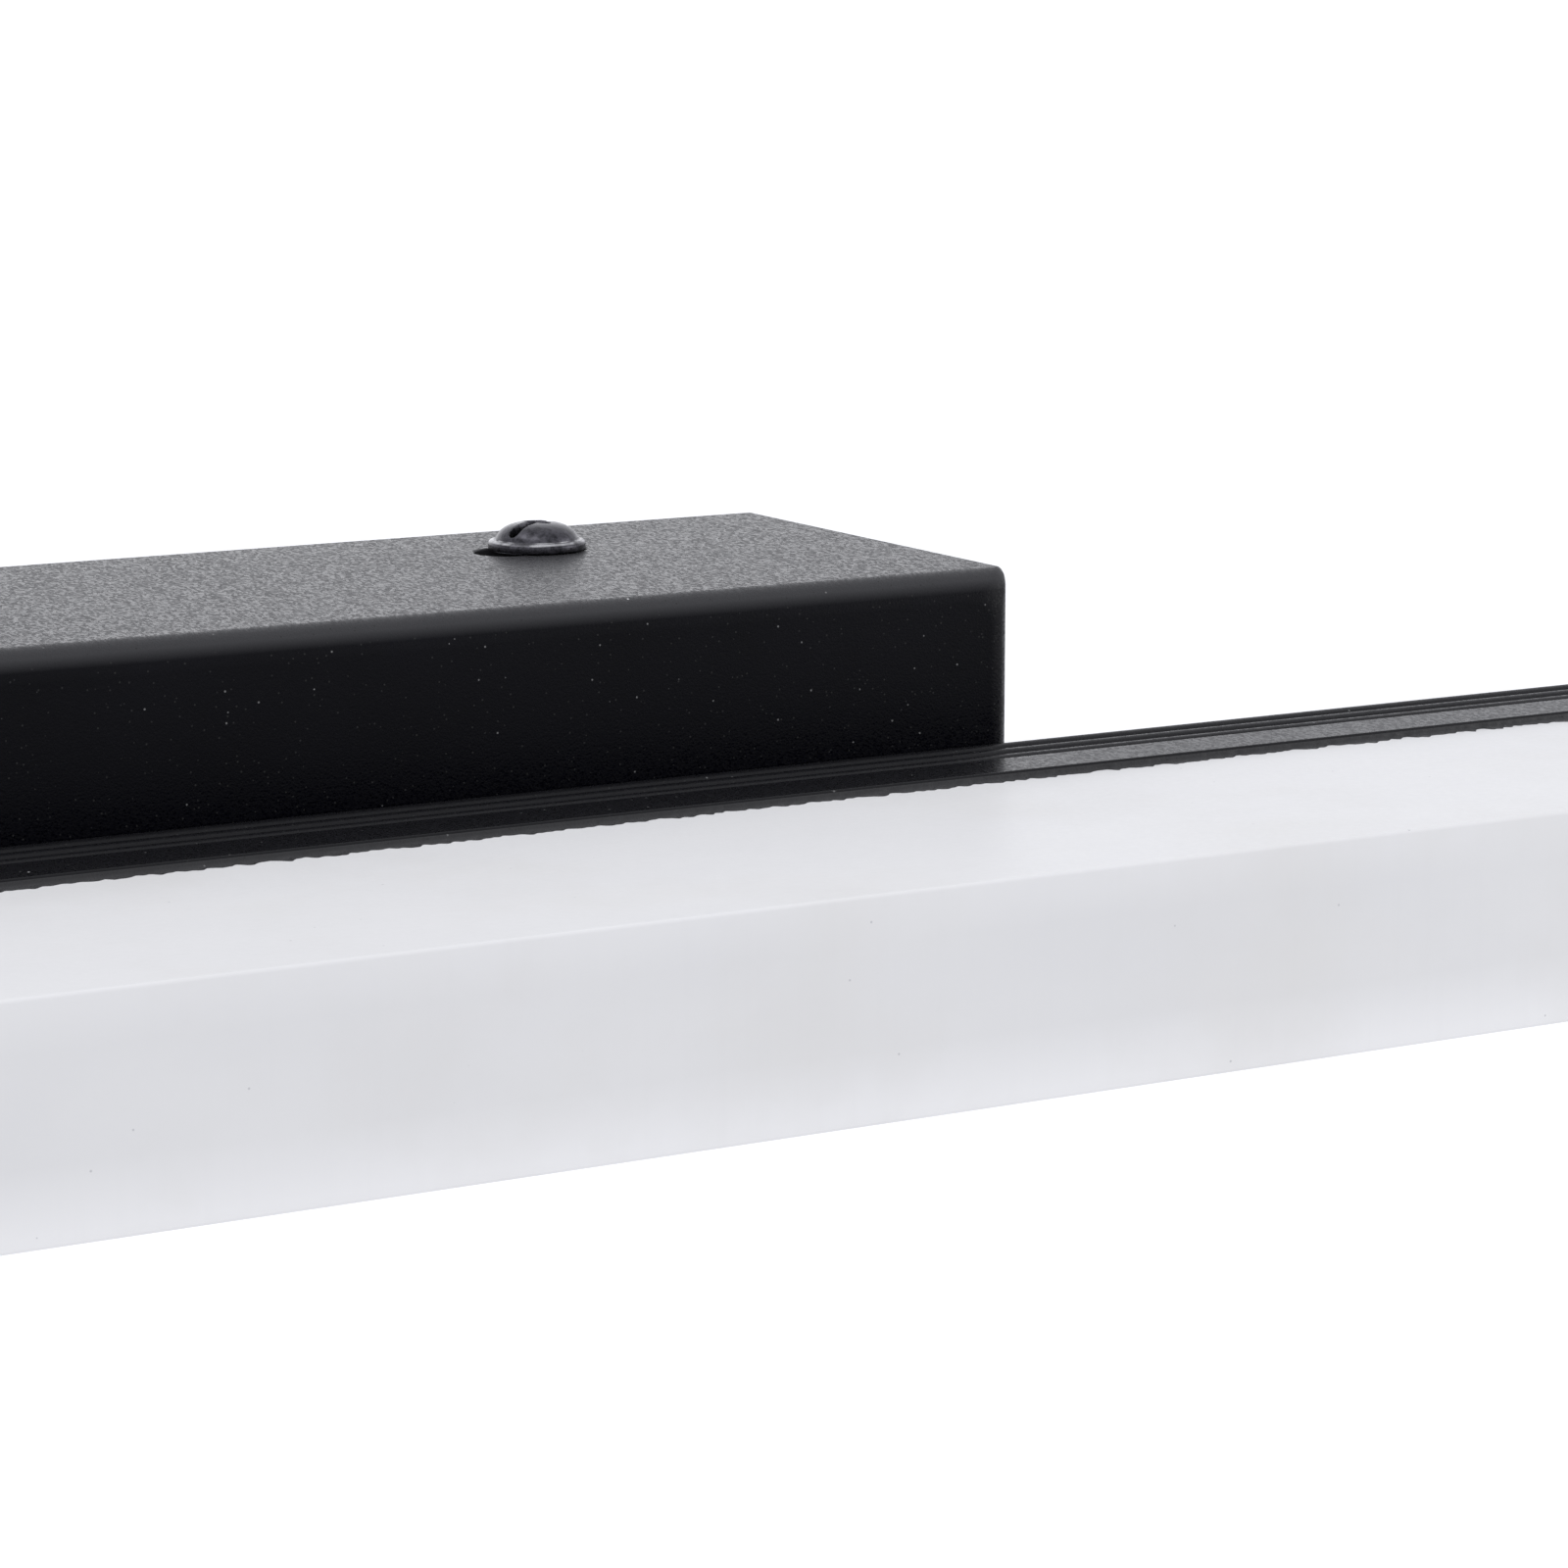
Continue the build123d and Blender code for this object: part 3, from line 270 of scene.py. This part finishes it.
def frosted_acrylic():
    """Translucent white acrylic: clouded, with faint smudges, dust and fine upright scratches."""
    shader = Shader("frosted_acrylic")
    shader.set(IOR=1.08)
    cloud = shader.noise(14 * MM, 4.0, 0.55, (0.5, 1, 1))
    clouded_middle = shader.ramp(cloud, 0.35, 0.7, (0.556, 0.557, 0.56, 1), (0.576, 0.576, 0.576, 1))
    # painted light: the front is painted lighter towards its bottom edge and, less, towards its top edge; the
    # middle keeps the clouded tone
    painted_edge_light = shader.maths(
        "MAXIMUM",
        shader.height(DIFFUSER[0][2] + 6 * MM, DIFFUSER[0][2] + 1 * MM, 0.0, 1.0),
        shader.height(DIFFUSER[1][2] - 4 * MM, DIFFUSER[1][2] - 0.5 * MM, 0.0, 0.4),
    )
    base = shader.mix(painted_edge_light, clouded_middle, (0.635, 0.635, 0.637, 1))
    smudge = shader.mapped(shader.noise(26 * MM, 5.0, 0.6), 0.5, 0.72, 0.0, 0.35)
    base = shader.mix(smudge, base, (0.53, 0.524, 0.51, 1))
    streaks = shader.mapped(shader.noise(1.6 * MM, 3.0, 0.7, (1, 1, 0.03)), 0.5, 0.8, 0.0, 0.06)
    base = shader.mix(streaks, base, (0.48, 0.483, 0.49, 1))
    scratch = shader.specks(9 * MM, 0.12 * MM, (1, 1, 0.012))
    base = shader.mix(shader.maths("MULTIPLY", scratch, 0.35), base, (0.42, 0.42, 0.43, 1))
    dust = shader.specks(3.5 * MM, 0.12 * MM)
    shader.link(shader.mix(dust, base, (0.42, 0.42, 0.43, 1)), "Base Color")
    fine = shader.noise(0.5 * MM, 2.0)
    shader.link(shader.mapped(fine, 0.3, 0.7, 0.32, 0.46), "Roughness")
    shader.link(shader.bump(fine, 0.004 * MM), "Normal")
    return shader.material


def plain(name, colour, roughness, metallic=0.0, grain=0.0):
    """A material for the small pieces: one colour with a little unevenness."""
    shader = Shader(name)
    shader.set(Roughness=roughness, Metallic=metallic)
    mottle = shader.noise(2.5 * MM, 3.0)
    dark = tuple(0.82 * c for c in colour) + (1,)
    light = tuple(min(1.0, 1.08 * c) for c in colour) + (1,)
    shader.link(shader.ramp(mottle, 0.3, 0.7, dark, light), "Base Color")
    if grain:
        shader.link(shader.bump(shader.noise(0.4 * MM, 3.0), grain * MM), "Normal")
    return shader.material


def black_zinc():
    """Blackened zinc on the screws: dark metal with a faint violet cast and uneven, with a painted highlight
    in patches along the flange's top edge.
    """
    shader = Shader("black_zinc")
    shader.set(Metallic=1.0)
    mottle = shader.noise(0.7 * MM, 4.0, 0.65)
    metal = shader.ramp(mottle, 0.3, 0.72, grey(0.014, 0.002), (0.085, 0.083, 0.095, 1))
    # painted highlight: a bright ring painted in patches along the flange's top edge, on every screw
    rim = CANOPY_HEIGHT / 2 + FLANGE_HEIGHT
    above = shader.height(rim - 0.22 * MM, rim - 0.1 * MM, 0.0, 1.0, True)
    below = shader.height(rim + 0.02 * MM, rim + 0.1 * MM, 1.0, 0.0, True)
    patchy = shader.mapped(shader.noise(1.6 * MM), 0.4, 0.62, 0.1, 1.0)
    painted_rim_highlight = shader.maths("MULTIPLY", shader.maths("MULTIPLY", above, below), patchy)
    shader.link(shader.mix(painted_rim_highlight, metal, grey(0.4, 0.01)), "Base Color")
    shader.link(shader.mapped(mottle, 0.3, 0.7, 0.2, 0.36), "Roughness")
    shader.link(shader.bump(shader.noise(0.22 * MM, 2.0), 0.015 * MM), "Normal")
    return shader.material


MATERIALS = {
    # the last number is added to the whole coat colour as painted light: on the bar it stands in for brighter
    # reflections on its flats, on the coat edge for highlights on the lip's rounded coat
    "black_coat": black_coat("black_coat", 0.013 * MM, 0.35, 0.1, 1.17, 0.0),
    "black_bar": black_coat("black_bar", 0.006 * MM, 0.33, 0.07, 1.215, 0.006),
    "coat_edge": black_coat("coat_edge", 0.008 * MM, 0.34, 0.08, 1.25, 0.026),
    "frosted_acrylic": frosted_acrylic(),
    "zinc_steel": plain("zinc_steel", (0.6, 0.61, 0.63), 0.38, 1.0, 0.01),
    "black_zinc": black_zinc(),
    "white_board": plain("white_board", (0.8, 0.8, 0.78), 0.4),
    "led_phosphor": plain("led_phosphor", (0.85, 0.62, 0.12), 0.3),
    "tape": plain("tape", (0.5, 0.53, 0.58), 0.8),
    "black_rubber": plain("black_rubber", (0.02, 0.02, 0.02), 0.75),
    "white_plastic": plain("white_plastic", (0.75, 0.75, 0.72), 0.45, 0.0, 0.01),
    "green_board": plain("green_board", (0.02, 0.17, 0.06), 0.4),
    "ferrite": plain("ferrite", (0.05, 0.05, 0.055), 0.6),
    "black_sleeve": plain("black_sleeve", (0.03, 0.03, 0.045), 0.35),
    "red_wire": plain("red_wire", (0.5, 0.02, 0.015), 0.4),
    "black_wire": plain("black_wire", (0.015, 0.015, 0.016), 0.4),
    "white_wire": plain("white_wire", (0.8, 0.8, 0.78), 0.4),
    "green_wire": plain("green_wire", (0.02, 0.3, 0.06), 0.4),
    "copper": plain("copper", (0.75, 0.42, 0.28), 0.3, 1.0),
    "brass": plain("brass", (0.75, 0.56, 0.26), 0.3, 1.0),
}
SLOTS = {part["node"]: part["material_slot"] for part in frame["record"]["subparts"]}
BODY_OF = {node: body for body, nodes in frame["record"]["behaviour"]["bodies"].items() for node in nodes}


def dress_cad_nodes():
    """Give every CAD node the material of its slot."""
    for name, node in frame["nodes"].items():
        node.data.materials.clear()
        node.data.materials.append(MATERIALS[SLOTS[name]])


# ---------------------------------------------------------------- mesh helpers

def add_piece(name, mesh, node, stands_in=True, smooth=35, material=None):
    """Put a mesh in the scene with the body and the material of a CAD node, and in its place if asked."""
    for polygon in mesh.polygons:
        polygon.use_smooth = True
    mesh.set_sharp_from_angle(angle=math.radians(smooth))
    piece = bpy.data.objects.new(name, mesh)
    bpy.context.collection.objects.link(piece)
    mesh.materials.append(MATERIALS[material or SLOTS[node]])
    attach(piece, BODY_OF[node])
    if stands_in:
        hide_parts(node)
    return piece


def bridge(mesh, rings, closed=True):
    """Skin a run of rings of equal length with quads. Returns the rings as vertices."""
    made = [[mesh.verts.new(point) for point in ring] for ring in rings]
    for near, far in zip(made, made[1:]):
        count = len(near)
        for i in range(count if closed else count - 1):
            j = (i + 1) % count
            mesh.faces.new((near[i], near[j], far[j], far[i]))
    return made


def boolean_cut(mesh, cutter):
    """Cut one mesh out of another. Both are bmeshes, and are freed. The cut is made in millimetres."""
    objects = []
    for part in (mesh, cutter):
        bmesh.ops.scale(part, verts=part.verts, vec=(1 / MM,) * 3)
        bmesh.ops.recalc_face_normals(part, faces=part.faces)
        data = bpy.data.meshes.new("work")
        part.to_mesh(data)
        part.free()
        made = bpy.data.objects.new("work", data)
        bpy.context.collection.objects.link(made)
        objects.append(made)
    body, tool = objects
    cut = body.modifiers.new("cut", "BOOLEAN")
    cut.operation = "DIFFERENCE"
    cut.solver = "EXACT"
    cut.object = tool
    bpy.context.view_layer.update()
    evaluated = body.evaluated_get(bpy.context.evaluated_depsgraph_get())
    result = bmesh.new()
    result.from_mesh(bpy.data.meshes.new_from_object(evaluated))
    bmesh.ops.scale(result, verts=result.verts, vec=(MM,) * 3)
    for made in objects:
        bpy.data.objects.remove(made)
    return result


def prism(mesh, outline, start, end):
    """A closed prism from an outline's points, moved to start and to end."""
    low, high = bridge(mesh, [[point + start for point in outline], [point + end for point in outline]])
    mesh.faces.new(low)
    mesh.faces.new(reversed(high))


def circle_points(radius, steps, across, up):
    angles = [2 * math.pi * i / steps for i in range(steps)]
    return [radius * (math.cos(a) * across + math.sin(a) * up) for a in angles]


def slot_points(length, width, steps, across, up):
    """A slot's outline: two half circles joined by straight sides."""
    radius = width / 2
    reach = length / 2 - radius
    points = []
    for side, first in ((1, -90), (-1, 90)):
        for step in range(steps + 1):
            angle = math.radians(first + 180 * step / steps)
            along = side * reach + radius * math.cos(angle)
            points.append(along * across + radius * math.sin(angle) * up)
    return points


# ---------------------------------------------------------------- canopy

def canopy_ring(inset, depth, corner):
    """A rounded rectangle across the canopy, that far in from its sides and that far from the wall."""
    half_x = CANOPY_WIDTH / 2 - inset
    half_z = CANOPY_HEIGHT / 2 - inset
    points = []
    for turn, (side, rise) in enumerate(((1, 1), (-1, 1), (-1, -1), (1, -1))):
        for step in range(CORNER_STEPS + 1):
            angle = math.radians(90 * (turn + step / CORNER_STEPS))
            x = side * (half_x - corner) + corner * math.cos(angle)
            z = rise * (half_z - corner) + corner * math.sin(angle)
            points.append(Vector((x, -depth, z)))
    return points


def canopy_rings(sheet, edge, final_corner):
    """One skin of the canopy: rounded at the wall by edge, straight sides, and the bend at the front."""
    front = CANOPY_DEPTH - sheet
    bend = CANOPY_BEND - sheet
    rings = []
    for angle in (0, 45, 90):
        turn = math.radians(angle)
        inset = sheet + edge * (1 - math.sin(turn))
        rings.append(canopy_ring(inset, abs(edge) * (1 - math.cos(turn)), CANOPY_CORNER))
    for step in range(BEND_STEPS + 1):
        turn = math.radians(90 * step / BEND_STEPS)
        inset = sheet + bend * (1 - math.cos(turn))
        corner = CANOPY_CORNER + (final_corner - CANOPY_CORNER) * step / BEND_STEPS
        rings.append(canopy_ring(inset, front - bend * (1 - math.sin(turn)), corner))
    return rings


def add_stud(mesh, foot, radius, length):
    """A threaded stud with a weld fillet at its foot and a chamfered tip."""
    profile = [(STUD_WELD * radius, 0.0), (STUD_WELD_NECK * radius, STUD_WELD_HEIGHT * radius)]
    turns = int((length - radius) / STUD_PITCH)
    for turn in range(turns):
        base = STUD_THREAD_START * radius + turn * STUD_PITCH
        profile += [(radius, base), (STUD_ROOT * radius, base + STUD_PITCH / 2)]
    profile += [(radius, length - STUD_CHAMFER * radius), ((1 - STUD_CHAMFER) * radius, length)]
    across = Vector((1, 0, 0))
    rings = []
    for out, height in profile:
        centre = foot + Vector((0, height, 0))
        rings.append([centre + point for point in circle_points(out, STUD_STEPS, across, UP)])
    made = bridge(mesh, rings)
    mesh.faces.new(made[0])
    mesh.faces.new(made[-1])


def make_canopy():
    """The folded box: an outer and an inner skin, its screw slots, its holes and its weld studs."""
    mesh = bmesh.new()
    outer = bridge(mesh, canopy_rings(0.0, CANOPY_RIM, 0.85 * CANOPY_BEND))
    inner = bridge(mesh, canopy_rings(CANOPY_SHEET, -CANOPY_RIM, CANOPY_CORNER))
    mesh.faces.new(outer[-1])
    mesh.faces.new(inner[-1])
    count = len(outer[0])
    for i in range(count):
        j = (i + 1) % count
        mesh.faces.new((outer[0][i], outer[0][j], inner[0][j], inner[0][i]))

    cutter = bmesh.new()
    across, depth = Vector((1, 0, 0)), Vector((0, 1, 0))
    for name in SCREW_NODES:
        low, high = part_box(name)
        centre = (Vector(low) + Vector(high)) / 2
        side = math.copysign(1, centre.x)
        rise = math.copysign(1, centre.z)
        middle = Vector((centre.x - side * SLOT_SHIFT, centre.y, 0))
        outline = slot_points(SLOT_LENGTH, SLOT_WIDTH, SLOT_STEPS, across, depth)
        inside = middle + UP * rise * (CANOPY_HEIGHT / 2 - 2 * CANOPY_SHEET)
        prism(cutter, outline, inside, inside + UP * rise * 3 * CANOPY_SHEET)
    front = Vector((0, -CANOPY_DEPTH, BAR_CENTRE))
    holes = [(WIRE_HOLE, 0, 0)]
    for side in (1, -1):
        for rise in (1, -1):
            holes.append((BAR_SCREW_HOLE, side * BAR_SCREW_X, rise * BAR_SCREW_Z))
    for radius, x, z in holes:
        middle = front + Vector((x, 0, z))
        outline = circle_points(radius, 2 * SLOT_STEPS, across, UP)
        prism(cutter, outline, middle + 2 * CANOPY_SHEET * depth, middle - depth * MM)
    mesh = boolean_cut(mesh, cutter)

    skin = CANOPY_HEIGHT / 2
    rims = []
    for rim in mesh.edges:
        level = all(abs(abs(v.co.z) - skin) < 0.001 * MM for v in rim.verts)
        inward = all(abs(v.co.x) < CANOPY_WIDTH / 2 - 10 * MM for v in rim.verts)
        forward = all(-CANOPY_DEPTH + 10 * MM < v.co.y < -5 * MM for v in rim.verts)
        if level and inward and forward and rim.calc_length() < 5.5 * MM:
            rims.append(rim)
    bmesh.ops.bevel(mesh, geom=rims, offset=CANOPY_RIM, segments=3, profile=0.5, affect="EDGES")
    for x, z, radius, length in STUDS:
        foot = Vector((x, -CANOPY_DEPTH + CANOPY_SHEET, z))
        add_stud(mesh, foot, radius, length)
    data = bpy.data.meshes.new("canopy_shell")
    mesh.to_mesh(data)
    mesh.free()
    shell = add_piece("canopy_shell", data, "canopy")
    smooth = shell.modifiers.new("normals", "WEIGHTED_NORMAL")
    smooth.keep_sharp = True


# ---------------------------------------------------------------- canopy screws

def screw_profile():
    """(radius, height, thread share) from the tip to the top. Heights are over the canopy's face.

    From the neck the flange's underside rises as a shallow cone to its outer edge.
    """
    points = [(0.0, -SCREW_LENGTH, 0.0), (TIP_TAPER * THREAD_ROOT, -SCREW_LENGTH, 0.0)]
    threaded = SCREW_LENGTH - THREAD_NECK
    rows = int(threaded / THREAD_PITCH * THREAD_ROWS)
    for row in range(1, rows + 1):
        height = -SCREW_LENGTH + threaded * row / rows
        taper = min(1.0, row / TIP_ROWS)
        radius = THREAD_ROOT * (TIP_TAPER + (1 - TIP_TAPER) * taper)
        fade = min(taper, (rows - row) / THREAD_ROWS, 1.0)
        points.append((radius, height, fade))
    points.append((FLANGE_RADIUS - FLANGE_EDGE, FLANGE_GAP, 0.0))
    for step in range(1, 7):
        turn = math.radians(90 * step / 6)
        out = FLANGE_RADIUS - FLANGE_EDGE * (1 - math.sin(turn))
        points.append((out, FLANGE_GAP + 0.6 * FLANGE_EDGE * (1 - math.cos(turn)), 0.0))
    for step in range(9):
        turn = math.radians(100 * step / 8)
        out = FLANGE_RADIUS - FLANGE_RIM * (1 - math.cos(turn))
        points.append((out, FLANGE_HEIGHT - FLANGE_RIM + FLANGE_RIM * math.sin(turn), 0.0))
    points.append((DOME_RADIUS + GROOVE_WIDTH, FLANGE_HEIGHT - GROOVE_DEPTH, 0.0))
    for step in range(DOME_STEPS + 1):
        share = math.cos(math.radians(90 * step / DOME_STEPS)) ** 0.8
        rise = DOME_HEIGHT * (1 - share ** 3) ** 0.6
        points.append((DOME_RADIUS * share, FLANGE_HEIGHT + rise, 0.0))
    return points


def make_canopy_screw(name, turn):
    """A washer-head screw: rolled thread, flange with a rounded rim, full dome and a combined recess."""
    low, high = (Vector(corner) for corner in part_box(name))
    centre = (low + high) / 2
    rise = math.copysign(1, centre.z)
    seat = Vector((centre.x, centre.y, rise * CANOPY_HEIGHT / 2))
    mesh = bmesh.new()
    rings = []
    for radius, height, thread in screw_profile():
        ring = []
        for step in range(SCREW_STEPS):
            angle = 2 * math.pi * step / SCREW_STEPS
            phase = (height / THREAD_PITCH - angle / (2 * math.pi)) % 1.0
            crest = thread * (THREAD_CREST - THREAD_ROOT) * max(0.0, 1 - THREAD_FLANK * abs(phase - 0.5))
            out = max(radius, POLE_RADIUS) + crest
            ring.append(Vector((out * math.cos(angle), out * math.sin(angle), height)))
        rings.append(ring)
    made = bridge(mesh, rings)
    mesh.faces.new(made[0])
    mesh.faces.new(made[-1])
    top = FLANGE_HEIGHT + DOME_HEIGHT
    for length, width, depth, heading in RECESS_CUTS:
        angle = math.radians(turn + heading)
        across = Vector((math.cos(angle), math.sin(angle), 0))
        along = Vector((-math.sin(angle), math.cos(angle), 0))
        cutter = bmesh.new()
        prism(cutter, slot_points(length, width, 6, across, along), UP * (top - depth), UP * 2 * top)
        mesh = boolean_cut(mesh, cutter)
    sharp = [
        edge for edge in mesh.edges
        if len(edge.link_faces) == 2 and edge.calc_face_angle() > math.radians(50)
        and min(v.co.z for v in edge.verts) > FLANGE_HEIGHT + 0.35 * MM
    ]
    bmesh.ops.bevel(mesh, geom=sharp, offset=RECESS_EDGE, segments=2, profile=0.5, affect="EDGES")
    if rise < 0:
        bmesh.ops.rotate(mesh, verts=mesh.verts, matrix=Matrix.Rotation(math.pi, 3, "X"))
    bmesh.ops.translate(mesh, verts=mesh.verts, vec=seat)
    bmesh.ops.recalc_face_normals(mesh, faces=mesh.faces)
    data = bpy.data.meshes.new(name + "_detailed")
    mesh.to_mesh(data)
    mesh.free()
    add_piece(name + "_detailed", data, name)


# ---------------------------------------------------------------- the coat's uneven edge on the lips

def make_lip_bead(name, side):
    """The coat on a lip's front, and its uneven edge where the lip meets the diffuser."""
    front = BAR[0][1]
    outer = BAR[1][2] if side > 0 else BAR[0][2]
    lip = outer - side * LIP
    face = DIFFUSER[1][2] if side > 0 else DIFFUSER[0][2]
    start, end = BAR[0][0] + BEAD_END, BAR[1][0] - BEAD_END
    columns = int((end - start) / BEAD_STEP)
    rings = []
    for column in range(columns + 1):
        x = start + (end - start) * column / columns
        long = noise.noise(Vector((x / (7 * MM), 3.7 * side, 0.0)))
        middle = noise.noise(Vector((x / (2.1 * MM), 9.1 * side, 4.0)))
        short = noise.noise(Vector((x / (0.8 * MM), 5.3 * side, 8.0)))
        drop = max(0.0, noise.noise(Vector((x / (4.3 * MM), 1.9 * side, 2.0))) - 0.35)
        width = (0.65 + 0.25 * long + 0.6 * middle + 0.65 * short + 1.6 * drop) * MM
        width = max(BEAD_MIN, width)
        film = (0.05 + 0.03 * short) * MM
        rings.append([
            Vector((x, front, face)),
            Vector((x, front - width, face)),
            Vector((x, front - 0.85 * width, face + side * 0.05 * MM)),
            Vector((x, front - 0.3 * width - film, lip + side * 0.05 * MM)),
            Vector((x, front - film, lip + side * 0.25 * MM)),
            Vector((x, front - film, outer - side * 0.28 * MM)),
            Vector((x, front, outer - side * 0.2 * MM)),
        ])
    mesh = bmesh.new()
    made = bridge(mesh, rings)
    mesh.faces.new(made[0])
    mesh.faces.new(made[-1])
    bmesh.ops.recalc_face_normals(mesh, faces=mesh.faces)
    data = bpy.data.meshes.new(name)
    mesh.to_mesh(data)
    mesh.free()
    add_piece(name, data, "bar_channel", stands_in=False, smooth=60, material="coat_edge")


# ---------------------------------------------------------------- camera, floor and light

def add_camera():
    data = bpy.data.cameras.new("camera")
    data.lens = CAMERA_LENS
    data.sensor_width = 36.0
    data.clip_start = 0.01
    camera = bpy.data.objects.new("camera", data)
    corner = (CANOPY[1][0], CANOPY[0][1], CANOPY[1][2])
    camera.location = [place + offset for place, offset in zip(corner, CAMERA_FROM_CORNER)]
    camera.rotation_euler = (math.radians(90 - CAMERA_PITCH), 0, math.radians(CAMERA_HEADING))
    bpy.context.collection.objects.link(camera)
    bpy.context.scene.camera = camera


def add_floor():
    bpy.ops.mesh.primitive_plane_add(size=FLOOR_SIZE, location=(0, 0, -FLOOR_DROP))
    floor = bpy.context.object
    floor.name = "floor"
    shader = Shader("floor")
    shader.set(Base_Color=grey(0.94), Roughness=0.9)
    floor.data.materials.append(shader.material)


def add_light():
    """A white surround, and soft lights overhead, behind and at the side."""
    world = bpy.data.worlds.new("studio")
    world.use_nodes = True
    background = world.node_tree.nodes["Background"]
    background.inputs["Color"].default_value = SURROUND_COLOUR
    background.inputs["Strength"].default_value = SURROUND_STRENGTH
    bpy.context.scene.world = world
    bpy.context.scene.view_settings.view_transform = "Standard"

    for name, place, size, power in SOFTBOXES:
        add_softbox(name, place, size, power)


def add_softbox(name, place, size, power):
    """A soft rectangular light that faces the light bar."""
    data = bpy.data.lights.new(name, "AREA")
    data.shape = "RECTANGLE"
    data.size, data.size_y = size
    data.energy = power
    light = bpy.data.objects.new(name, data)
    light.location = place
    light.rotation_euler = (-Vector(place)).to_track_quat("-Z", "Y").to_euler()
    bpy.context.collection.objects.link(light)


dress_cad_nodes()
make_canopy()
for screw, turn in RECESS_TURNS.items():
    make_canopy_screw(screw, turn)
make_lip_bead("lip_bead_top", 1)
make_lip_bead("lip_bead_bottom", -1)
add_camera()
add_floor()
add_light()
